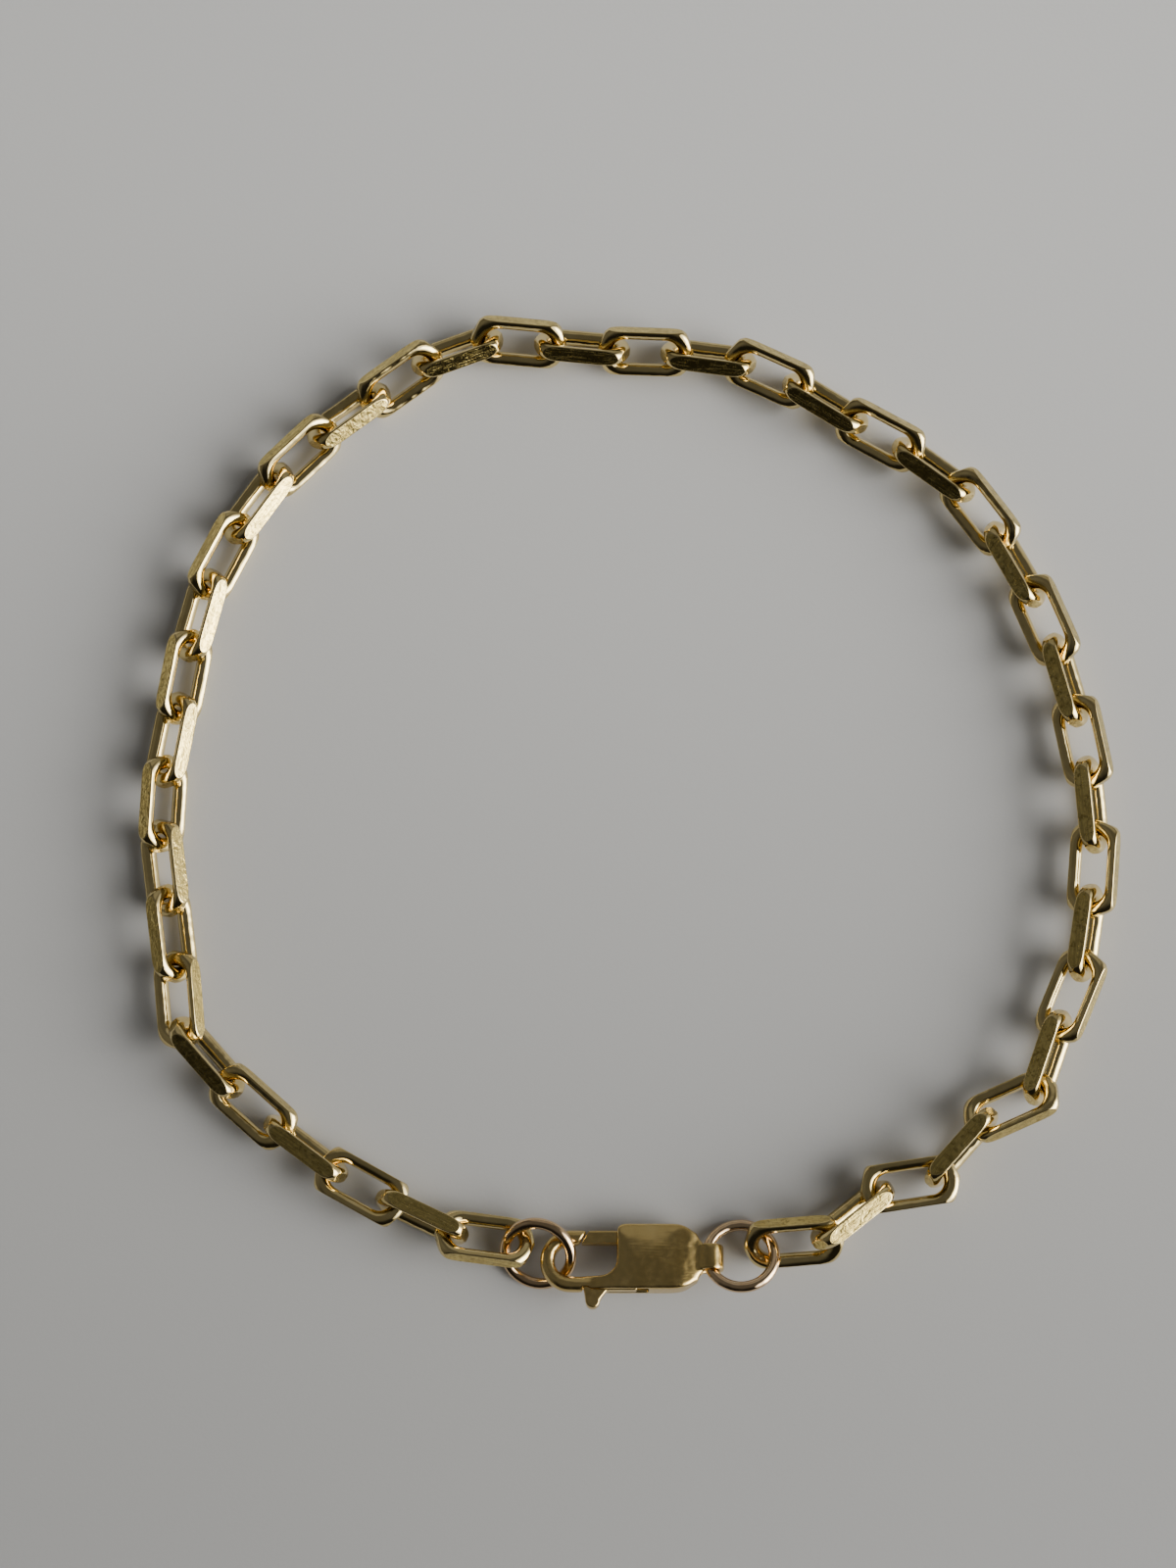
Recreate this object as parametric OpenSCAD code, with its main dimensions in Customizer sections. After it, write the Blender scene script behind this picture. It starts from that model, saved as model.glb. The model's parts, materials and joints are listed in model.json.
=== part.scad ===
// Link bracelet: a diamond cut anchor chain with two jump rings and a lobster claw clasp,
// lying as a closed loop on a level surface. Millimetres, +Z up, seen as worn side up.

/* [Chain link] */
// Number of links, even so that they alternate
link_count = 42; // [38:2:46]
// Diameter of the link's round wire before it is cut
wire_d = 1.04; // [0.96:0.02:1.12]
// Thickness left in a rail, from the hole to its cut facet
rail_t = 0.66; // [0.6:0.01:0.75]
// Thickness left at the middle of an end
end_t = 1.01; // [0.9:0.01:1.02]
// Length of a link over its ends
link_l = 6.34; // [6.1:0.02:6.4]
// Slant of the two facets that are cut on each end
end_slant = 21; // [18:0.5:26]
// Play of one link's wire between the other's rails
side_play = 0.64; // [0.5:0.02:0.74]
// Play between the ends of two hooked links along the chain
end_play = 0.17; // [0.12:0.01:0.24]
// Turn of each link to either side about the chain's length
link_turn = 45; // [40:1:50]

/* [Jump rings] */
// Diameter of the jump rings' wire
ring_wire = 0.7; // [0.5:0.02:0.76]
// Outer diameter of the ring in the clasp's eye
eye_ring_d = 4.9; // [4.5:0.1:5.4]
// Outer diameter of the ring in the clasp's hook
hook_ring_d = 4.9; // [4.5:0.1:5.4]
// Side tilt of the ring in the eye, with its outer side up
eye_ring_tilt = 30; // [28:1:33]
// Side tilt of the ring in the hook, with its inner side up
hook_ring_tilt = 24; // [22:1:27]

/* [Clasp] */
// Length from the hook's end to the eye's end
clasp_l = 11.5; // [11.2:0.1:12.4]
// Width of the body
body_w = 4.1; // [4:0.05:4.4]
// Thickness of the body at its middle
body_t = 2.2; // [2:0.05:2.6]
// Fall of the body's faces from the middle to the long edges
body_crown = 0.28; // [0.15:0.01:0.35]
// Radius to which the faces are crowned along the clasp
long_crown_r = 11; // [9:0.5:20]
// Length from the hook's end to the body's shoulder
hook_l = 4.8; // [4.6:0.05:5.2]
// Radius of the body's shoulder above the gate
shoulder_r = 0.5; // [0.3:0.05:0.6]
// Width of the hook's arm
hook_w = 0.96; // [0.8:0.02:1.1]
// Thickness of the hook's arm
hook_t = 1.2; // [1.1:0.05:1.3]
// Width of the hook's mouth between its arms
mouth_w = 1.95; // [1.85:0.05:2.2]
// Length from the hook's end to its tip, on the mouth's side
tip_l = 2.45; // [2.2:0.05:2.7]
// Slant of the hook's tip and of the gate's end
tip_slant = 30; // [15:1:40]
// Step from the body's side to the gate's
gate_inset = 0.3; // [0.2:0.05:0.4]
// Radius of the eye's hole
eye_hole_r = 0.62; // [0.58:0.01:0.66]
// Wall round the eye's hole
eye_wall = 0.28; // [0.25:0.01:0.4]
// Width of the eye
eye_w = 1.6; // [1.3:0.05:1.7]
// Length from the body's round end to the eye's end
eye_l = 1.15; // [1.1:0.05:1.3]
// Radius of the hollows beside the eye's neck
neck_r = 0.75; // [0.6:0.05:0.85]
// Thickness of the neck
neck_t = 1; // [0.8:0.05:1.3]
// Roll of the clasp about its length, with the thumb tab's side up
clasp_roll = 18; // [14:1:20]

/* [Lever] */
// Thickness of the lever
lever_t = 0.8; // [0.6:0.05:0.9]
// Width of the gate
gate_w = 0.84; // [0.7:0.02:0.9]
// Radius of the hub round the rivet
hub_r = 0.62; // [0.55:0.01:0.7]
// Width of the leg from the hub to the thumb tab
leg_w = 0.75; // [0.6:0.05:0.9]
// Length of the thumb tab outside the body
tab_l = 1.1; // [0.9:0.05:1.4]
// Width of the thumb tab at its root
tab_w = 1.8; // [1.5:0.05:2]
// Radius of the thumb tab's round end
tab_r = 0.45; // [0.35:0.05:0.55]
// Reach of the thumb tab's root before the body's shoulder
tab_reach = 2.1; // [1.9:0.05:2.3]
// Angle by which the gate opens
open_angle = 30; // [24:1:32]
// Distance of the rivet behind the body's shoulder
pivot_depth = 0.9; // [0.8:0.05:1.1]
// Distance of the rivet from the body's side
pivot_inset = 0.85; // [0.75:0.05:0.95]
// Radius of the rivet
pin_r = 0.35; // [0.25:0.01:0.4]
// Length of the rivet, which ends inside both faces
pin_h = 1.5; // [1.3:0.05:1.6]
// Clearance beside the lever in its slot
lever_play = 0.06; // [0.04:0.01:0.1]
// Gap between the gate's end and the hook's tip
tip_play = 0.09; // [0.07:0.01:0.15]
// Radial clearance of the rivet
pin_play = 0.02; // [0.01:0.01:0.04]

/* [Hidden] */
$fn = 64;

// The loop's shape: places that the chain passes, counter-clockwise from the clasp's middle.
// The loop is stretched a little so that its links and its clasp just fill it.
LOOP = [
    [0, -29], [8.5, -28], [12, -27.5], [15.5, -25], [19.5, -23.5], [22.1, -20.6], [25.4, -18.4],
    [27, -14.5], [28.5, -10.5], [29.5, -2.5], [28.5, 5.5], [26, 13], [21.5, 20], [15, 24.5],
    [7.5, 28.5], [-1, 29.5], [-9, 30], [-12.5, 29], [-16.5, 26.5], [-22.5, 21.5], [-27, 14.5],
    [-29, 6.5], [-30, -1.5], [-29, -10], [-28.5, -14], [-26, -17.5], [-19.5, -23], [-12, -27],
    [-8, -28]
];

// How far the links lie behind an even spacing, where the chain is pushed together on one side
// and drawn out on the other: hundredths of the way round, and the distance there.
LAG = [[0, 0], [7.5, 0.12], [10, 0.2], [17.5, 0.2], [37.5, 0.55], [82.5, 0.6], [100, 0]];

// Extra turn of the links where the chain is twisted, most of it beside the clasp: the link's
// number counted from the eye's end and from the hook's end, and its turn in degrees.
EYE_END_TWIST = [
    [1, -73], [2, -56], [3, -41], [4, -27], [5, -13], [6, -14], [8, -15], [10, -15], [15, -10],
    [21, -5], [28, 0]
];
HOOK_END_TWIST = [
    [1, 77], [2, 62], [3, 49], [4, 38], [5, 31], [6, 25], [7, 17], [8, 8], [9, 6], [15, 0]
];

// Sizes of a link that follow from its wire
wire_r = wire_d / 2;
hole_w = wire_d + side_play;
link_w = hole_w + 2 * rail_t;
bend_r = (hole_w + wire_d) / 2;
bend_x = link_l / 2 - end_t - hole_w / 2;
pitch = link_l - 2 * end_t - end_play;
bend_gap = pitch - 2 * bend_x;
facet_w = 2 * sqrt(pow(wire_r, 2) - pow(rail_t - wire_r, 2));
corner_x = link_l / 2 - link_w / 2 * tan(end_slant);

function link_number(k) = k < 9 ? str("link_0", k + 1) : str("link_", k + 1);
LINKS = [for (k = [0 : link_count - 1]) link_number(k)];

// A smooth closed curve through the loop's places
steps = 16;
function spline(a, b, c, d, t) = 0.5 * (2 * b + (c - a) * t + (2 * a - 5 * b + 4 * c - d) * t * t
    + (3 * b - a - 3 * c + d) * t * t * t);
function curve(points) = let (n = len(points)) [
    for (i = [0 : n - 1]) for (j = [0 : steps - 1])
        spline(points[(i + n - 1) % n], points[i], points[(i + 1) % n], points[(i + 2) % n], j / steps)
];
function lengths(path, i = 0, sum = 0, out = []) = i > len(path) ? out
    : lengths(path, i + 1, sum + norm(path[(i + 1) % len(path)] - path[i % len(path)]), concat(out, [sum]));

// The clasp in its own frame: X from the hook's end to the eye's, Y to the gate's side, Z up
body_r = body_w / 2;
gate_y = body_r - gate_inset - hook_w / 2;
hook_r = (mouth_w + hook_w) / 2;
mouth_y = gate_y - hook_r;
hook_x = hook_r + hook_w / 2;
eye_r = eye_hole_r + eye_wall;
eye_x = clasp_l - eye_r;
pivot = [hook_l + pivot_depth, body_r - pivot_inset];
seat = [hook_w + mouth_w / 2, mouth_y];
crown_r = (pow(body_r, 2) + pow(body_crown, 2)) / (2 * body_crown);
body_end_x = clasp_l - eye_l;
body_mid_x = hook_l + (body_end_x - hook_l) / 3;

// The clasp's place in the loop: its lower long edge rests on the surface
clasp_at = [-5.8, -29, body_r * sin(clasp_roll) + (body_t / 2 - body_crown) * cos(clasp_roll)];
function clasp_place(x, y) = clasp_at + [x, y * cos(clasp_roll), -y * sin(clasp_roll)];

// A jump ring is held at a point of the clasp and meets a link at another. Its polar angles to
// both are counted from +X, and it leans along X so that it meets the link at the link's height.
function ring_lean(r, tilt, from, to, rise) =
    let (a = cos(to) - cos(from), b = (sin(to) - sin(from)) * sin(tilt), c = norm([a, b]))
        asin(rise / r / c * sign(a)) - atan(b / a);
function ring_point(r, tilt, lean, angle) = r * [
    cos(angle) * cos(lean) - sin(angle) * sin(tilt) * sin(lean),
    sin(angle) * cos(tilt),
    cos(angle) * sin(lean) + sin(angle) * sin(tilt) * cos(lean)
];
eye_ring_r = (eye_ring_d - ring_wire) / 2;
hook_ring_r = (hook_ring_d - ring_wire) / 2;
eye_seat_angle = 185;
eye_link_angle = 24;
hook_seat_angle = -14;
hook_link_angle = 158;

// Height of a link's middle above the surface when it is turned by an angle and rests on the
// round of its rail or on the edge of its facet
function rest_height(turn) = let (s = abs(sin(turn)), c = abs(cos(turn)))
    wire_r * s < link_w / 2 - bend_r ? bend_r * s + wire_r : link_w / 2 * s + facet_w / 2 * c;
function turn_of(k) = (k % 2 == 0 ? link_turn : -link_turn)
    + lookup(k + 1, EYE_END_TWIST) + lookup(link_count - k, HOOK_END_TWIST);
function joint_height(k) = max(
    rest_height(turn_of(max(k - 1, 0))),
    rest_height(turn_of(min(k, link_count - 1)))
);

eye_seat = clasp_place(eye_x - (eye_hole_r - ring_wire / 2) / 2, 0);
hook_seat = clasp_place(seat[0], seat[1]);
eye_lean = ring_lean(eye_ring_r, -eye_ring_tilt, eye_seat_angle, eye_link_angle, joint_height(0) - eye_seat[2]);
hook_lean = ring_lean(hook_ring_r, hook_ring_tilt, hook_seat_angle, hook_link_angle,
    joint_height(link_count) - hook_seat[2]);
eye_ring_at = eye_seat - ring_point(eye_ring_r, -eye_ring_tilt, eye_lean, eye_seat_angle);
hook_ring_at = hook_seat - ring_point(hook_ring_r, hook_ring_tilt, hook_lean, hook_seat_angle);
first_catch = eye_ring_at + ring_point(eye_ring_r, -eye_ring_tilt, eye_lean, eye_link_angle);
last_catch = hook_ring_at + ring_point(hook_ring_r, hook_ring_tilt, hook_lean, hook_link_angle);

// How far beyond the bend of an end link its ring's wire lies
first_slack = 0.02;
last_slack = 0.04;

// The loop, stretched about the clasp so that the chain has its length
raw_loop = curve(LOOP);
raw_length = lengths(raw_loop)[len(raw_loop)];
chain_l = link_count * pitch - 2 * (pitch / 2 - bend_x) + first_slack + last_slack;
stretch = (chain_l + first_catch[0] - last_catch[0]) / raw_length;
loop = [for (p = raw_loop) LOOP[0] + stretch * (p - LOOP[0])];
along = lengths(loop);
samples = len(loop);
loop_x = [for (i = [0 : samples]) [along[i], loop[i % samples][0]]];
loop_y = [for (i = [0 : samples]) [along[i], loop[i % samples][1]]];
near_start = [for (i = [0 : 2 * steps]) [loop[i][0], along[i]]];
near_end = [for (i = [samples - 2 * steps : samples]) [loop[i % samples][0], along[i]]];

// The joints between links: link k runs from joint k to joint k + 1
first_run = pitch / 2 + bend_x + first_slack;
last_run = pitch / 2 + bend_x + last_slack;
first_s = lookup(first_catch[0], near_start) + first_run;
last_s = lookup(last_catch[0], near_end) - last_run;
function on_loop(k) = let (s = first_s + (k - 1) * (last_s - first_s) / (link_count - 2)
    - lookup(100 * (k - 1) / (link_count - 2), LAG))
    [lookup(s, loop_x), lookup(s, loop_y)];
function flat(p) = [p[0], p[1]];
function beyond(a, b, run) = b + (b - a) * (pitch - run) / norm(b - a);
flat_joints = concat(
    [beyond(on_loop(1), flat(first_catch), first_run)],
    [for (k = [1 : link_count - 1]) on_loop(k)],
    [beyond(on_loop(link_count - 1), flat(last_catch), last_run)]
);

// The direction in which a link runs, and the normal of its own plane
function level_joint(k) = [flat_joints[k][0], flat_joints[k][1], joint_height(k)];
function unit(v) = v / norm(v);
function run_of(k) = unit(level_joint(k + 1) - level_joint(k));
function link_normal(k) = let (run = run_of(k), side = unit(cross([0, 0, 1], run)), t = turn_of(k))
    side * sin(t) + cross(run, side) * cos(t);

// Two hooked links bend about the middles of their own bends. The line between those lies in
// both links' planes, and the joint is its middle.
function hook_line(k) = k == 0 || k == link_count
    ? run_of(k == 0 ? 0 : k - 1)
    : let (u = unit(cross(link_normal(k - 1), link_normal(k)))) u * sign(u * run_of(k));
function joint(k) = let (u = hook_line(k), p = flat_joints[k])
    [p[0], p[1], joint_height(k) + bend_gap / 2 * abs(u[2])];
function link_start(k) = joint(k) + hook_line(k) * bend_gap / 2;
function link_end(k) = joint(k + 1) - hook_line(k + 1) * bend_gap / 2;

// The lowest link touches the surface, with the round of its rail or with its facet, which is
// longest at its middle and reaches down most at its edge
function facet_end(z) = min(
    bend_x + sqrt(pow(bend_r + sqrt(pow(wire_r, 2) - pow(z, 2)), 2) - pow(link_w / 2, 2)),
    corner_x
);
function lowest(k) = let (
    a = link_start(k)[2], b = link_end(k)[2], t = turn_of(k),
    facet = [for (part = [0 : 3]) let (z = part / 4 * facet_w / 2)
        abs(b - a) * (facet_end(z) / bend_x - 1) / 2 + link_w / 2 * abs(sin(t)) + z * abs(cos(t))]
) min(a, b) - max(rest_height(t), max(facet));
ground = min([for (k = [0 : link_count - 1]) lowest(k)]);

// The origin lies under the middle of the laid bracelet
middle = [-0.19, -0.33];
module laid(lift = 0) {
    translate([-middle[0], -middle[1], lift]) children();
}

module on_link(k) {
    a = link_start(k);
    b = link_end(k);
    run = b - a;
    laid(-ground) translate((a + b) / 2)
        rotate([-turn_of(k), -asin(run[2] / norm(run)), atan2(run[1], run[0])])
            children();
}

// A link lies in its own XY plane: a stadium of round wire, cut flat on both long sides and
// twice on each end
module half_bend() {
    translate([bend_x, 0, 0])
        rotate_extrude(start = -90, angle = 180)
            translate([bend_r, 0]) circle(wire_r);
}

module link_wire() {
    for (side = [-1, 1]) {
        translate([-bend_x, side * bend_r, 0]) rotate([0, 90, 0]) cylinder(h = 2 * bend_x, r = wire_r);
    }
    half_bend();
    mirror([1, 0, 0]) half_bend();
}

module link_envelope() {
    linear_extrude(2 * wire_d, center = true)
        polygon([
            [link_l / 2, 0], [corner_x, link_w / 2], [-corner_x, link_w / 2],
            [-link_l / 2, 0], [-corner_x, -link_w / 2], [corner_x, -link_w / 2]
        ]);
}

module link() {
    intersection() {
        link_wire();
        link_envelope();
    }
}

module chain_link(k) {
    color("goldenrod") on_link(k) link();
}

module jump_ring(at, r, tilt, lean) {
    color("peru") laid()
        translate(at)
            rotate([0, -lean, 0])
                rotate([tilt, 0, 0])
                    rotate_extrude() translate([r, 0]) circle(ring_wire / 2);
}

module in_clasp() {
    laid() translate(clasp_at) rotate([-clasp_roll, 0, 0]) children();
}

// The hook: a rounded bar bent round the mouth, with a slanted end where the gate meets it
module hook_section() {
    flat_h = (hook_t - hook_w) / 2;
    for (side = [-1, 1]) {
        translate([0, side * flat_h]) circle(hook_w / 2);
    }
    square([hook_w, 2 * flat_h], center = true);
}

module hook_arm(y, from, to) {
    translate([from, y, 0]) rotate([90, 0, 90]) linear_extrude(to - from) hook_section();
}

module hook() {
    big = 2 * hook_l;
    translate([hook_x, mouth_y, 0])
        rotate_extrude(start = 90, angle = 180)
            translate([hook_r, 0]) hook_section();
    hook_arm(mouth_y - hook_r, hook_x, hook_l + hook_w);
    difference() {
        hook_arm(gate_y, hook_x, tip_l + hook_w);
        translate([tip_l, gate_y - hook_w / 2, 0])
            rotate([0, 0, -tip_slant]) translate([0, -big / 2, -big / 2]) cube(big);
    }
}

// The body seen from above: its shoulders, the round end, and the cheek under the mouth
module body_outline() {
    round_x = body_end_x - body_r;
    cheek_x = hook_x + hook_w / 2;
    cheek_y = mouth_y - mouth_w / 2;
    fillet_r = hook_w;
    difference() {
        union() {
            translate([hook_l, -body_r]) square([round_x - hook_l, body_w - shoulder_r]);
            translate([hook_l + shoulder_r, -body_r]) square([round_x - hook_l - shoulder_r, body_w]);
            translate([hook_l + shoulder_r, body_r - shoulder_r]) circle(shoulder_r);
            translate([round_x, 0]) circle(body_r);
            translate([cheek_x, -body_r]) square([hook_l - cheek_x, body_r + cheek_y]);
            translate([hook_l - fillet_r, cheek_y]) square(fillet_r);
        }
        translate([hook_l - fillet_r, cheek_y + fillet_r]) circle(fillet_r);
    }
}

module neck_outline() {
    neck_y = eye_w / 2 + neck_r;
    difference() {
        translate([eye_x - 2 * neck_r, -neck_y]) square([2 * neck_r, 2 * neck_y]);
        for (side = [-1, 1]) {
            translate([eye_x, side * neck_y]) circle(neck_r);
        }
    }
}

// Both faces are crowned across and along
module crowned() {
    intersection_for (side = [-1, 1]) {
        translate([-body_w, 0, side * (crown_r - body_t / 2)])
            rotate([0, 90, 0]) cylinder(h = clasp_l + 2 * body_w, r = crown_r, $fn = 180);
        translate([body_mid_x, body_w, side * (long_crown_r - body_t / 2)])
            rotate([90, 0, 0]) cylinder(h = 2 * body_w, r = long_crown_r, $fn = 180);
    }
}

module clasp_body() {
    color("darkkhaki") in_clasp() difference() {
        union() {
            hook();
            intersection() {
                translate([0, 0, -body_t]) linear_extrude(2 * body_t) body_outline();
                crowned();
            }
            translate([0, 0, -neck_t / 2]) linear_extrude(neck_t) neck_outline();
            translate([eye_x, eye_w / 2, 0]) rotate([90, 0, 0]) cylinder(h = eye_w, r = eye_r);
        }
        translate([eye_x, body_w, 0]) rotate([90, 0, 0]) cylinder(h = 2 * body_w, r = eye_hole_r);
        lever_slot();
        translate([pivot[0], pivot[1], 0])
            cylinder(h = pin_h + 2 * pin_play, r = pin_r + pin_play, center = true);
    }
}

// The lever seen from above, in the clasp's frame. Drawn larger all round it is the lever's slot.
module gate_outline(more) {
    inner_y = gate_y - gate_w / 2 - more;
    outer_y = gate_y + gate_w / 2 + more;
    end_x = tip_l + tip_play / cos(tip_slant) - more;
    polygon([
        [end_x + (inner_y - gate_y + hook_w / 2) * tan(tip_slant), inner_y], [pivot[0], inner_y],
        [pivot[0], outer_y], [end_x + (outer_y - gate_y + hook_w / 2) * tan(tip_slant), outer_y]
    ]);
}

module leg_outline(more) {
    tab_x = hook_l - tab_reach;
    root_y = -body_r + leg_w / 2;
    foot_x = tab_x + leg_w / 2;
    translate([pivot[0] - leg_w / 2 - more, root_y - leg_w / 2])
        square([leg_w + 2 * more, pivot[1] - root_y + leg_w / 2]);
    translate([foot_x - more, root_y - leg_w / 2 - more])
        square([pivot[0] + leg_w / 2 - foot_x + 2 * more, leg_w + 2 * more]);
}

module tab_outline(more) {
    tab_x = hook_l - tab_reach;
    root_y = -body_r + leg_w / 2;
    end_y = -body_r - tab_l + tab_r;
    end_x = tab_x + tab_w / 3;
    translate([end_x, end_y]) circle(tab_r + more);
    polygon([
        [tab_x - more, root_y + more], [end_x - tab_r - more, end_y],
        [end_x + tab_r / 2 + more, end_y - tab_r / 2 - more], [tab_x + tab_w + more, root_y + more]
    ]);
}

module lever_outline(more = 0) {
    translate(pivot) circle(hub_r + more);
    gate_outline(more);
    leg_outline(more);
    tab_outline(more);
}

module turned_about_pivot(angle) {
    translate(pivot) rotate(angle) translate(-pivot) children();
}

module lever_slot() {
    slot_t = lever_t + 2 * lever_play;
    turns = 5;
    translate([0, 0, -slot_t / 2])
        linear_extrude(slot_t)
            for (turn = [0 : turns]) {
                turned_about_pivot(turn / turns * open_angle) lever_outline(lever_play);
            }
}

module clasp_lever() {
    color("khaki") in_clasp() difference() {
        translate([0, 0, -lever_t / 2]) linear_extrude(lever_t) lever_outline();
        translate(pivot) cylinder(h = 2 * lever_t, r = pin_r + pin_play, center = true);
    }
}

module clasp_pin() {
    color("gray") in_clasp() translate([pivot[0], pivot[1], 0]) cylinder(h = pin_h, r = pin_r, center = true);
}

for (k = [0 : link_count - 1]) {
    chain_link(k);
}
jump_ring(eye_ring_at, eye_ring_r, -eye_ring_tilt, eye_lean);  // ring_eye
jump_ring(hook_ring_at, hook_ring_r, hook_ring_tilt, hook_lean);  // ring_hook
clasp_body();
clasp_lever();
clasp_pin();
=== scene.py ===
import json
import math

import bmesh
import bpy
import numpy as np
from mathutils import Matrix, Vector


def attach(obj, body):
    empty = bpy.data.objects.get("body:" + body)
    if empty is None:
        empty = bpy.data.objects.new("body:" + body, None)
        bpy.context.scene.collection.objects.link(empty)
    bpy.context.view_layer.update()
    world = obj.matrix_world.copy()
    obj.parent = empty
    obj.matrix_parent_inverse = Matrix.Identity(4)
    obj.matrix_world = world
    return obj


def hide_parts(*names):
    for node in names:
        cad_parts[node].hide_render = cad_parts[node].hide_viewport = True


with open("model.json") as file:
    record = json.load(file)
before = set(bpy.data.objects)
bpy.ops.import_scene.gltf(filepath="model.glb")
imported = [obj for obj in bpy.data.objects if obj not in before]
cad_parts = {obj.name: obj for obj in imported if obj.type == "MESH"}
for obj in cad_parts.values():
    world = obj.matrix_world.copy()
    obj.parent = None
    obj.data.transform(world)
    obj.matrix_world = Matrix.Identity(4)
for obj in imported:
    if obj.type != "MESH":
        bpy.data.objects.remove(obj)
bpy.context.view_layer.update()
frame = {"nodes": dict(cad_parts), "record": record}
mm = 0.001  # the pieces are shaped in millimetres and laid down in metres
scene = bpy.context.scene


# camera, as the photograph was taken: above the loop and leaning a little to the clasp's side
view = {
    "target": (-2.59, 1.33, 0.0),  # mm, the middle of the picture on the surface
    "distance": 150.0,  # mm
    "lean": 7.0,  # degrees from straight down
    "lens": 53.325,
    "sensor": 36.0,
}


def placeCamera():
    lean = math.radians(view["lean"])
    back = Vector((0, -math.sin(lean), math.cos(lean)))
    camera = bpy.data.objects.new("camera", bpy.data.cameras.new("camera"))
    camera.data.lens = view["lens"]
    camera.data.sensor_width = view["sensor"]
    camera.data.clip_start = 0.005
    camera.data.clip_end = 20.0
    camera.location = (Vector(view["target"]) + back * view["distance"]) * mm
    camera.rotation_euler = (lean, 0, 0)
    scene.collection.objects.link(camera)
    scene.camera = camera


placeCamera()


# node helpers
def newMaterial(name):
    material = bpy.data.materials.new(name)
    material.use_nodes = True
    tree = material.node_tree
    tree.nodes.clear()
    output = tree.nodes.new("ShaderNodeOutputMaterial")
    shader = tree.nodes.new("ShaderNodeBsdfPrincipled")
    tree.links.new(shader.outputs["BSDF"], output.inputs["Surface"])
    return material, tree, shader


def addNode(tree, kind, inputs=None, **settings):
    node = tree.nodes.new(kind)
    for key, value in settings.items():
        setattr(node, key, value)
    for key, value in (inputs or {}).items():
        if isinstance(value, bpy.types.NodeSocket):
            tree.links.new(value, node.inputs[key])
        else:
            node.inputs[key].default_value = value
    return node


def addRange(tree, value, low, high, toLow, toHigh, kind="LINEAR"):
    node = addNode(tree, "ShaderNodeMapRange", {
        "Value": value, "From Min": low, "From Max": high, "To Min": toLow, "To Max": toHigh
    }, interpolation_type=kind)
    return node.outputs["Result"]


def addMath(tree, operation, a, b):
    return addNode(tree, "ShaderNodeMath", {0: a, 1: b}, operation=operation).outputs[0]


def addMix(tree, factor, a, b):
    mix = addNode(tree, "ShaderNodeMix", data_type="RGBA")
    for socket, value in ((mix.inputs[0], factor), (mix.inputs[6], a), (mix.inputs[7], b)):
        if isinstance(value, bpy.types.NodeSocket):
            tree.links.new(value, socket)
        else:
            socket.default_value = (*value, 1) if isinstance(value, tuple) else value
    return mix.outputs[2]


def addNoise(tree, place, scale, stretch=(1, 1, 1), turn=(0, 0, 0), detail=3.0, rough=0.55, warp=0.0):
    mapping = addNode(tree, "ShaderNodeMapping", {
        "Vector": place, "Scale": stretch, "Rotation": [math.radians(angle) for angle in turn]
    })
    noise = addNode(tree, "ShaderNodeTexNoise", {
        "Vector": mapping.outputs["Vector"], "Scale": scale, "Detail": detail,
        "Roughness": rough, "Distortion": warp
    })
    return noise.outputs["Fac"]


# golds: a place in millimetres in the piece's own frame is kept as an attribute on each piece
gold = {
    "chain": (0.82, 0.66, 0.32),
    "chainDeep": (0.72, 0.56, 0.24),
    "facet": (0.88, 0.70, 0.26),
    "facetDeep": (0.78, 0.59, 0.19),
    "ring": (0.84, 0.62, 0.38),
    "ringDeep": (0.74, 0.51, 0.29),
    "clasp": (0.78, 0.59, 0.25),
    "claspDeep": (0.68, 0.49, 0.18),
    "roughPolish": 0.085,
    "roughCut": 0.11,
    "roughClasp": 0.21,
    "wireRelief": (0.09, 0.5),  # mm of relief, and its strength
    "cutRelief": (0.1, 0.5),
    "claspRelief": (0.3, 0.6),
    "scratches": ((9.0, 24, 0.56), (12.0, -38, 0.59)),  # fineness, turn in degrees, and level of each run
    "soil": 0.42,  # share of the deep gold that is left in the facets' marks
}


def ownPlace(tree):
    return addNode(tree, "ShaderNodeAttribute", attribute_name="ownPlace").outputs["Vector"]


def objectPlace(tree):
    place = addNode(tree, "ShaderNodeTexCoord").outputs["Object"]
    return addNode(tree, "ShaderNodeVectorMath", {0: place, "Scale": 1 / mm}, operation="SCALE").outputs[0]


def blendGold(tree, cloud, light, deep):
    return addMix(tree, addRange(tree, cloud, 0.3, 0.7, 0.0, 1.0), light, deep)


def finishGold(tree, shader, colour, rough, height, relief):
    tree.links.new(colour, shader.inputs["Base Color"])
    tree.links.new(rough, shader.inputs["Roughness"])
    shader.inputs["Metallic"].default_value = 1.0
    depth, strength = relief
    bump = addNode(tree, "ShaderNodeBump", {"Height": height, "Distance": depth * mm, "Strength": strength})
    tree.links.new(bump.outputs["Normal"], shader.inputs["Normal"])


# drawn and polished wire: faint lines along it and a little unevenness
def drawnGold(name, light, deep, rough, findPlace=ownPlace):
    material, tree, shader = newMaterial(name)
    place = findPlace(tree)
    cloud = addNoise(tree, place, 0.9)
    dent = addNoise(tree, place, 1.1, detail=1.0)
    streak = addNoise(tree, place, 5.0, stretch=(0.08, 1, 1), detail=2.0)
    colour = blendGold(tree, cloud, light, deep)
    roughness = addRange(tree, streak, 0.3, 0.75, rough * 0.7, rough * 1.6)
    height = addMath(tree, "ADD", addMath(tree, "MULTIPLY", streak, 0.12), dent)
    finishGold(tree, shader, colour, roughness, height, gold["wireRelief"])
    return material


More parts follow.
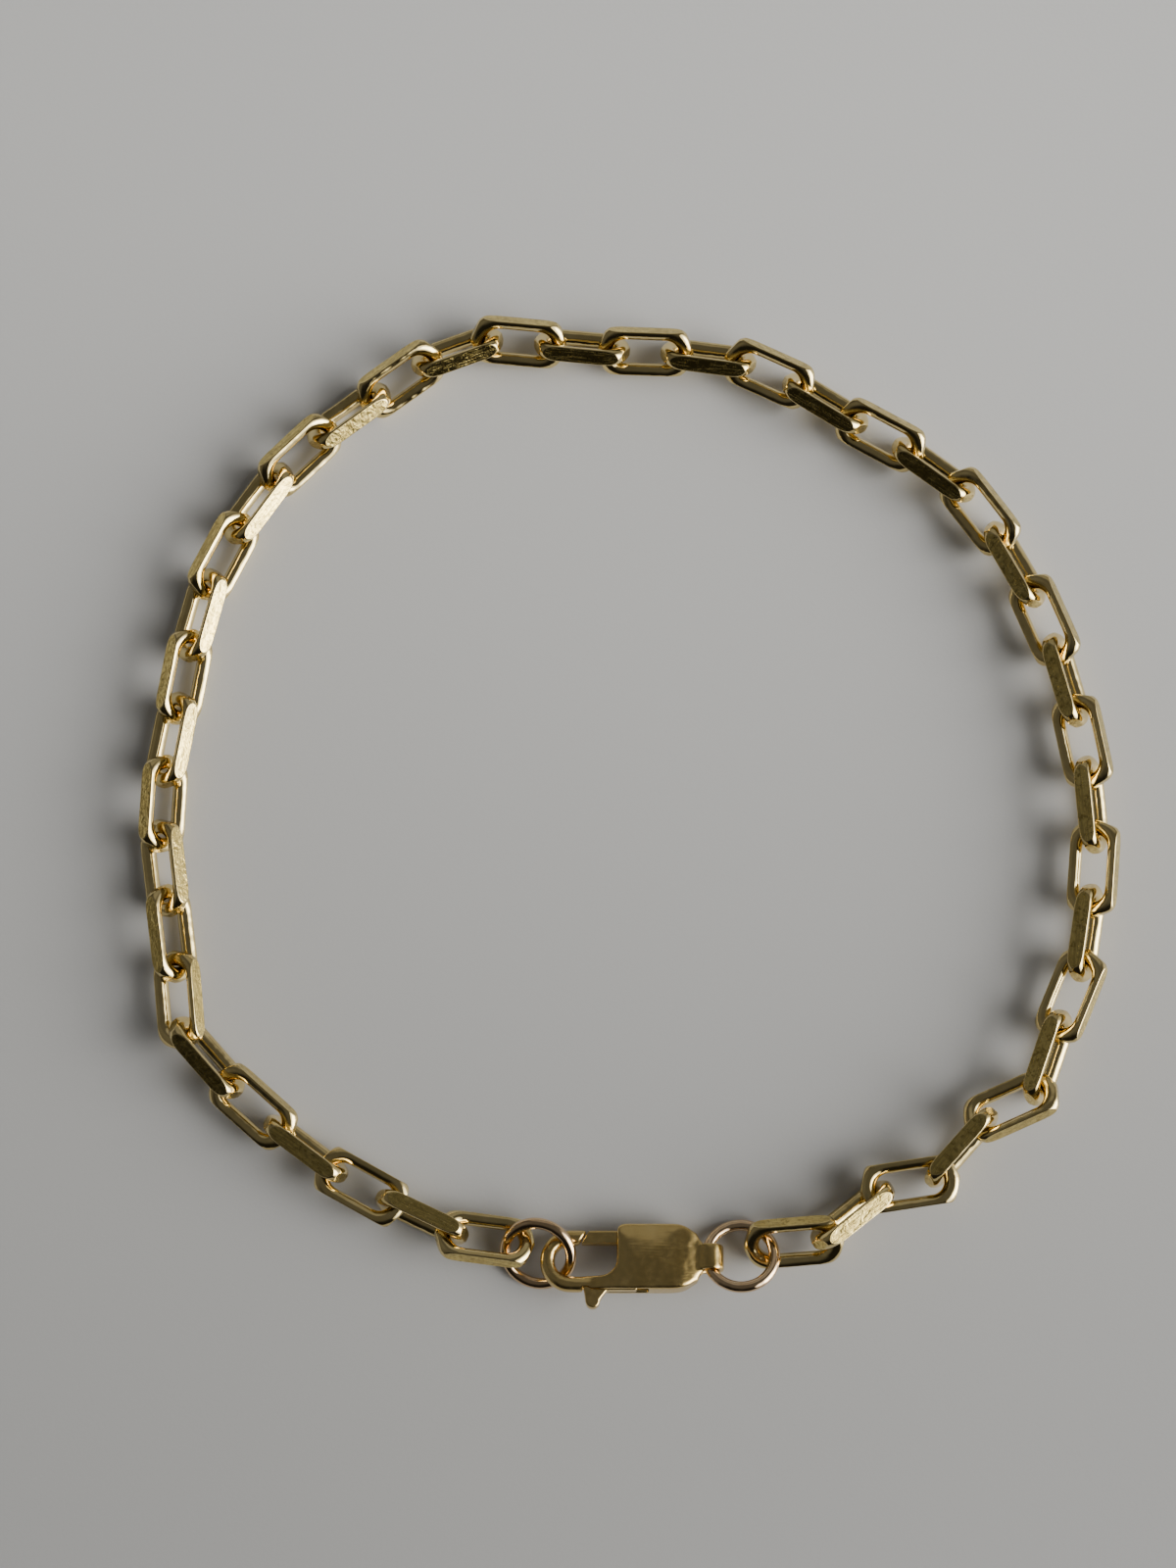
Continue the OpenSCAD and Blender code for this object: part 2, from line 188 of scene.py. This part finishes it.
# fine lines where a stretched noise passes a level, turned in the facet's plane
def addScratches(tree, place, scale, angle, level):
    lines = addNoise(tree, place, scale, stretch=(0.05, 1, 1), turn=(0, angle, 0), detail=1.0)
    return addRange(tree, lines, level, level + 0.05, 0.0, 1.0)


# cut facets: almost flat mirrors with dapples, specks and two runs of fine scratches
def cutGold(name, light, deep, rough):
    material, tree, shader = newMaterial(name)
    place = ownPlace(tree)
    cloud = addNoise(tree, place, 1.4)
    dapple = addNoise(tree, place, 1.7, detail=3.0, warp=0.8)
    speck = addNoise(tree, place, 4.2, detail=5.0, rough=0.7)
    first, second = (addScratches(tree, place, *run) for run in gold["scratches"])
    scratches = addMath(tree, "MAXIMUM", first, second)
    soiled = tuple(value * gold["soil"] for value in deep)
    colour = blendGold(tree, cloud, light, deep)
    marks = addMath(tree, "MAXIMUM", addMath(tree, "MULTIPLY", scratches, 0.55),
                    addRange(tree, speck, 0.49, 0.61, 0.0, 1.0))
    colour = addMix(tree, addMath(tree, "MULTIPLY", marks, 0.85), colour, soiled)
    roughness = addRange(tree, marks, 0.0, 1.0, rough, rough * 2.6)
    height = addMath(tree, "SUBTRACT", dapple, addMath(tree, "MULTIPLY", scratches, 0.08))
    finishGold(tree, shader, colour, roughness, height, gold["cutRelief"])
    return material


# clasp: soft polish brushed lightly along its length, with worn spots
def satinGold(name, light, deep, rough):
    material, tree, shader = newMaterial(name)
    place = ownPlace(tree)
    cloud = addNoise(tree, place, 0.5)
    wave = addNoise(tree, place, 0.45, detail=2.0)
    brush = addNoise(tree, place, 9.0, stretch=(0.06, 1, 1), turn=(0, 0, 6), detail=3.0, rough=0.6)
    wear = addNoise(tree, place, 3.0, detail=5.0)
    colour = blendGold(tree, cloud, light, deep)
    roughness = addRange(tree, wear, 0.35, 0.7, rough * 0.8, rough * 1.3)
    height = addMath(tree, "ADD", wave, addMath(tree, "MULTIPLY", brush, 0.05))
    finishGold(tree, shader, colour, roughness, height, gold["claspRelief"])
    return material


wireFinish = drawnGold("wirePolish", gold["chain"], gold["chainDeep"], gold["roughPolish"])
facetFinish = cutGold("facetCut", gold["facet"], gold["facetDeep"], gold["roughCut"])
ringFinish = drawnGold("ringPolish", gold["ring"], gold["ringDeep"], gold["roughPolish"])
claspFinish = satinGold("claspSatin", gold["clasp"], gold["claspDeep"], gold["roughClasp"])
pinFinish = drawnGold("pinPolish", gold["clasp"], gold["claspDeep"], gold["roughPolish"], objectPlace)
print("golds mixed")


# a piece's own frame, from the spread of its node's surface: middle, direction of length, direction of width
def frameOfNode(name):
    mesh = frame["nodes"][name].data
    mesh.calc_loop_triangles()
    points = np.empty(len(mesh.vertices) * 3)
    mesh.vertices.foreach_get("co", points)
    points = points.reshape(-1, 3) / mm
    corners = np.empty(len(mesh.loop_triangles) * 3, dtype=np.int32)
    mesh.loop_triangles.foreach_get("vertices", corners)
    a, b, c = (points[corners.reshape(-1, 3)[:, k]] for k in range(3))
    area = np.linalg.norm(np.cross(b - a, c - a), axis=1) / 2
    middle = (area[:, None] * (a + b + c)).sum(0) / 3 / area.sum()
    a, b, c = a - middle, b - middle, c - middle
    spread = sum(np.einsum("n,ni,nj->ij", area / 12, p, p) for p in (a, b, c, a + b + c))
    axes = np.linalg.eigh(spread)[1]  # the widest spread comes last
    return Vector(middle), Vector(axes[:, 2]), Vector(axes[:, 1])


def matrixFrom(middle, lengthwise, across):
    normal = lengthwise.cross(across)
    matrix = Matrix((lengthwise, across, normal)).transposed().to_4x4()
    matrix.translation = middle
    return matrix


# a shaped piece laid down in metres, riding on its body and standing for its node
def layDown(bm, name, matrix, materials, shift=Vector((0, 0, 0)), body="bracelet", node=None):
    bmesh.ops.recalc_face_normals(bm, faces=bm.faces)
    own = [vert.co + shift for vert in bm.verts]
    bmesh.ops.transform(bm, matrix=Matrix.Scale(mm, 4) @ matrix, verts=bm.verts)
    mesh = bpy.data.meshes.new(name)
    bm.to_mesh(mesh)
    bm.free()
    attribute = mesh.attributes.new("ownPlace", "FLOAT_VECTOR", "POINT")
    attribute.data.foreach_set("vector", [value for place in own for value in place])
    for material in materials:
        mesh.materials.append(material)
    mesh.shade_smooth()
    piece = bpy.data.objects.new(name, mesh)
    scene.collection.objects.link(piece)
    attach(piece, body)
    if node:
        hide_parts(node)
    return piece


def weighNormals(piece):
    modifier = piece.modifiers.new("weighted", "WEIGHTED_NORMAL")
    modifier.mode = "FACE_AREA"
    modifier.weight = 100


# chain links: a stadium of round wire, cut flat on both sides and twice on each end, in mm
link = {
    "wire": 1.04,
    "rail": 0.66,  # width that the side cut leaves of the wire
    "end": 1.01,  # the same at the tip, between the two end cuts
    "length": 6.34,
    "play": 0.64,  # the hole is wider than the wire by this
    "slant": 21.0,  # degrees by which the end cuts lean back from the tip
    "round": 40,  # points round the wire
    "bend": 20,  # steps round each bend
    "edge": 0.055,  # rounding of the cut edges
    "sharp": 0.2,  # radians from which an edge is rounded
    "merge": 0.001,
    "snap": 0.012,  # points this near to a cut are moved onto it
    "count": 42,
    "patternStep": (7.3, 3.1, 1.7),  # moves the marks on from link to link
}


# widens the faces beside a cut, so that there is room to round its edge
def clearRim(bm, rim, room):
    onRim = dict.fromkeys(v for e in rim for v in e.verts)
    onto = {}
    for vert in onRim:
        for edge in vert.link_edges:
            other = edge.other_vert(vert)
            if other not in onRim and other not in onto and edge.calc_length() < room:
                onto[other] = vert
    bmesh.ops.weld_verts(bm, targetmap=onto)


def edgesOf(geometry):
    return [e for e in geometry if isinstance(e, bmesh.types.BMEdge)]


def vertsOf(geometry):
    return [v for v in geometry if isinstance(v, bmesh.types.BMVert)]


def shapeLink():
    wire = link["wire"] / 2
    hole = link["wire"] + link["play"]
    width = hole + 2 * link["rail"]
    bendRadius = (hole + link["wire"]) / 2
    bendAt = link["length"] / 2 - link["end"] - hole / 2
    bm = bmesh.new()
    bmesh.ops.create_circle(bm, segments=link["round"], radius=wire)
    bmesh.ops.rotate(bm, verts=bm.verts, cent=(0, 0, 0), matrix=Matrix.Rotation(math.pi / 2, 3, "Y"))
    bmesh.ops.translate(bm, verts=bm.verts, vec=(bendAt, -bendRadius, 0))
    section = bm.verts[:] + bm.edges[:]
    for side in (1, -1):
        turned = bmesh.ops.spin(bm, geom=section, cent=(side * bendAt, 0, 0), axis=(0, 0, 1),
                                angle=math.pi, steps=link["bend"])["geom_last"]
        grown = bmesh.ops.extrude_edge_only(bm, edges=edgesOf(turned))["geom"]
        bmesh.ops.translate(bm, verts=vertsOf(grown), vec=(-side * 2 * bendAt, 0, 0))
        section = vertsOf(grown) + edgesOf(grown)
    bmesh.ops.remove_doubles(bm, verts=bm.verts, dist=link["merge"])
    bmesh.ops.recalc_face_normals(bm, faces=bm.faces)
    slant = math.radians(link["slant"])
    cuts = [((0, side, 0), (0, side * width / 2, 0)) for side in (1, -1)]
    cuts += [((x * math.cos(slant), y * math.sin(slant), 0), (x * link["length"] / 2, 0, 0))
             for x in (1, -1) for y in (1, -1)]
    for normal, place in cuts:
        cut = bmesh.ops.bisect_plane(bm, geom=bm.verts[:] + bm.edges[:] + bm.faces[:], dist=link["snap"],
                                     plane_co=place, plane_no=normal, clear_outer=True, use_snap_center=True)
        rim = [e for e in edgesOf(cut["geom_cut"]) if e.is_boundary]
        clearRim(bm, rim, link["edge"] * 1.3)
        rim = [e for e in bm.edges if e.is_boundary]
        for face in bmesh.ops.contextual_create(bm, geom=rim)["faces"]:
            face.material_index = 1
    bm.normal_update()
    sharp = [e for e in bm.edges if len(e.link_faces) == 2
             and any(f.material_index == 1 for f in e.link_faces) and e.calc_face_angle() > link["sharp"]]
    rounded = bmesh.ops.bevel(bm, geom=sharp, offset=link["edge"], offset_type="OFFSET", segments=3,
                              profile=0.5, affect="EDGES", material=-1, clamp_overlap=False)
    for face in rounded["faces"]:
        face.material_index = 0  # the rounded edges are polished like the wire
    bmesh.ops.dissolve_degenerate(bm, dist=link["merge"] / 2, edges=bm.edges)
    return bm


linkShape = bpy.data.meshes.new("linkShape")
shaped = shapeLink()
shaped.to_mesh(linkShape)
shaped.free()
for number in range(1, link["count"] + 1):
    name = "link_%02d" % number
    middle, lengthwise, across = frameOfNode(name)
    if across.z < 0:
        across = -across  # the raised rail lies on the plus side
    copy = bmesh.new()
    copy.from_mesh(linkShape)
    piece = layDown(copy, "chain_" + name, matrixFrom(middle, lengthwise, across), [wireFinish, facetFinish],
                    shift=Vector(link["patternStep"]) * number, node=name)
    weighNormals(piece)
bpy.data.meshes.remove(linkShape)
print("links laid")


# jump rings: round wire with its ends soldered, in mm
ring = {"wire": 0.7, "across": 4.9, "round": 32, "steps": 96}
for name in ("ring_eye", "ring_hook"):
    middle, lengthwise, across = frameOfNode(name)
    bm = bmesh.new()
    bmesh.ops.create_circle(bm, segments=ring["round"], radius=ring["wire"] / 2)
    bmesh.ops.rotate(bm, verts=bm.verts, cent=(0, 0, 0), matrix=Matrix.Rotation(math.pi / 2, 3, "X"))
    bmesh.ops.translate(bm, verts=bm.verts, vec=((ring["across"] - ring["wire"]) / 2, 0, 0))
    bmesh.ops.spin(bm, geom=bm.verts[:] + bm.edges[:], cent=(0, 0, 0), axis=(0, 0, 1), angle=2 * math.pi,
                   steps=ring["steps"], use_merge=True)
    layDown(bm, "jump_" + name, matrixFrom(middle, lengthwise, across), [ringFinish],
            node=name)
print("rings laid")


# clasp: copies of its solids with every edge rounded, shaped in the clasp's own frame at the rivet
clasp = {
    "merge": 0.002,  # points of the solids' copies this near become one
    "grain": 0.05,  # size of the faces from which the edges are rounded
    "rounding": {"clasp_body": 16, "clasp_lever": 17},  # smoothing passes everywhere
    "moreRounding": 34,  # and more of them on the body's thick stretch
    "thick": (-6.0, 4.4),  # its length from the rivet, towards the hook and towards the eye
}
hinge = frame["record"]["behaviour"]["joints"][0]


def claspMatrix():
    upward = Vector(hinge["axis"]).normalized()
    lengthwise = Vector((1, 0, 0))
    return matrixFrom(Vector(hinge["pos_m"]) / mm, lengthwise, upward.cross(lengthwise))


def smoothOver(bm, verts, passes):
    for _ in range(passes):
        bmesh.ops.smooth_vert(bm, verts=verts, factor=0.5, use_axis_x=True, use_axis_y=True, use_axis_z=True)


def roundedCopy(name, matrix):
    bm = bmesh.new()
    bm.from_mesh(frame["nodes"][name].data)
    bmesh.ops.transform(bm, matrix=matrix.inverted() @ Matrix.Scale(1 / mm, 4), verts=bm.verts)
    bmesh.ops.remove_doubles(bm, verts=bm.verts, dist=clasp["merge"])
    merged = bpy.data.meshes.new("merged")
    bm.to_mesh(merged)
    bm.free()
    rough = bpy.data.objects.new("rough", merged)
    scene.collection.objects.link(rough)
    even = rough.modifiers.new("even", "REMESH")
    even.mode = "VOXEL"
    even.voxel_size = clasp["grain"]
    bm = bmesh.new()
    bm.from_object(rough, bpy.context.evaluated_depsgraph_get())
    bpy.data.objects.remove(rough)
    bpy.data.meshes.remove(merged)
    smoothOver(bm, bm.verts, clasp["rounding"][name])
    return bm


matrix = claspMatrix()
for name, body in (("clasp_body", "bracelet"), ("clasp_lever", "lever")):
    bm = roundedCopy(name, matrix)
    if name == "clasp_body":
        thick = [v for v in bm.verts if clasp["thick"][0] < v.co.x < clasp["thick"][1]]
        smoothOver(bm, thick, clasp["moreRounding"])
    layDown(bm, "rounded_" + name, matrix, [claspFinish], body=body, node=name)
frame["nodes"]["clasp_pin"].data.materials.clear()
frame["nodes"]["clasp_pin"].data.materials.append(pinFinish)
print("clasp laid")


# floor and light
room = {
    "floor": (0.47, 0.47, 0.468),
    "floorRough": 0.45,
    "floorReach": 6.0,  # metres from the middle
    "across": (-0.05, 0.03, 0.86, 1.0),  # metres from left to right, and the painted shade there: the floor is painted darker towards the left
    "along": (-0.05, 0.055, 1.0, 1.55),  # the same from the clasp's side to the far side: painted light, the floor is painted lighter towards the far side
    "keyPower": 42.0,
    "keyFrom": (2.10, -0.48, 0.78),  # metres from the loop
    "keySize": 1.98,
    "keyTone": (1.0, 0.985, 0.96),
    "dark": (0.014, 0.0135, 0.0125),  # what is mirrored everywhere else
    "backdrop": (0.40, 0.40, 0.395),  # seen past the floor's edge, and lighting nothing
}


def layFloor():
    material, tree, shader = newMaterial("paleSurface")
    place = addNode(tree, "ShaderNodeTexCoord").outputs["Object"]
    axes = addNode(tree, "ShaderNodeSeparateXYZ", {"Vector": place}).outputs
    # painted light and shade: the floor's colour is scaled by these two ramps, standing in for the fall-off
    # of the light across the floor
    tone = addMath(tree, "MULTIPLY", addRange(tree, axes["X"], *room["across"], "SMOOTHSTEP"),
                   addRange(tree, axes["Y"], *room["along"], "SMOOTHSTEP"))
    cloud = addRange(tree, addNoise(tree, place, 9.0, detail=2.0), 0.0, 1.0, 1.0, 0.97)
    grain = addNoise(tree, place, 4000.0, detail=2.0)
    colour = addNode(tree, "ShaderNodeVectorMath", {
        0: room["floor"], "Scale": addMath(tree, "MULTIPLY", tone, cloud)
    }, operation="SCALE").outputs[0]
    tree.links.new(colour, shader.inputs["Base Color"])
    shader.inputs["Roughness"].default_value = room["floorRough"]
    shader.inputs["Specular IOR Level"].default_value = 0.35
    bump = addNode(tree, "ShaderNodeBump", {"Height": grain, "Distance": 0.00002, "Strength": 0.3})
    tree.links.new(bump.outputs["Normal"], shader.inputs["Normal"])
    bm = bmesh.new()
    bmesh.ops.create_grid(bm, x_segments=4, y_segments=4, size=room["floorReach"])
    mesh = bpy.data.meshes.new("surface")
    bm.to_mesh(mesh)
    bm.free()
    mesh.materials.append(material)
    surface = bpy.data.objects.new("surface", mesh)
    scene.collection.objects.link(surface)


def hangLight():
    lamp = bpy.data.lights.new("keyLight", "AREA")
    lamp.shape = "SQUARE"
    lamp.size = room["keySize"]
    lamp.energy = room["keyPower"]
    lamp.color = room["keyTone"]
    holder = bpy.data.objects.new("keyLight", lamp)
    holder.location = room["keyFrom"]
    holder.rotation_euler = (-Vector(room["keyFrom"])).to_track_quat("-Z", "Y").to_euler()
    scene.collection.objects.link(holder)


# what the metal mirrors: direction, cosine where it starts and where it is full, and brightness
mirrored = {
    "window": ((1.0, -0.24, 0.50), 0.79, 0.88, (2.2, 2.17, 2.09)),
    "sky": ((1.0, -0.22, 0.44), 0.92, 0.96, (5.4, 5.3, 5.0)),
    "windowWall": ((1.0, -0.05, 0.12), 0.55, 0.95, (0.80, 0.79, 0.765)),
    "farWall": ((0.1, 1.0, 0.22), 0.74, 0.92, (0.24, 0.238, 0.228)),
    "leftWall": ((-1.0, 0.15, 0.15), 0.5, 0.95, (0.11, 0.109, 0.104)),
    "ceiling": ((0.0, 0.25, 1.0), 0.5, 0.95, (0.085, 0.085, 0.083)),
}


def buildWorld():
    world = bpy.data.worlds.new("room")
    scene.world = world
    world.use_nodes = True
    tree = world.node_tree
    tree.nodes.clear()
    direction = addNode(tree, "ShaderNodeTexCoord").outputs["Generated"]
    light = addNode(tree, "ShaderNodeRGB")
    light.outputs[0].default_value = (*room["dark"], 1)
    total = light.outputs[0]
    for toward, start, full, tone in mirrored.values():
        unit = Vector(toward).normalized()
        dot = addNode(tree, "ShaderNodeVectorMath", {0: direction, 1: unit}, operation="DOT_PRODUCT")
        share = addRange(tree, dot.outputs["Value"], start, full, 0.0, 1.0, "SMOOTHSTEP")
        lit = addNode(tree, "ShaderNodeVectorMath", {0: tone, "Scale": share}, operation="SCALE")
        both = addNode(tree, "ShaderNodeVectorMath", {0: total, 1: lit.outputs[0]}, operation="ADD")
        total = both.outputs[0]
    seen = addNode(tree, "ShaderNodeLightPath").outputs["Is Camera Ray"]
    shown = addMix(tree, seen, total, room["backdrop"])
    back = addNode(tree, "ShaderNodeBackground", {"Color": shown, "Strength": 1.0})
    output = addNode(tree, "ShaderNodeOutputWorld")
    tree.links.new(back.outputs[0], output.inputs["Surface"])


layFloor()
hangLight()
buildWorld()
print("floor and light set")
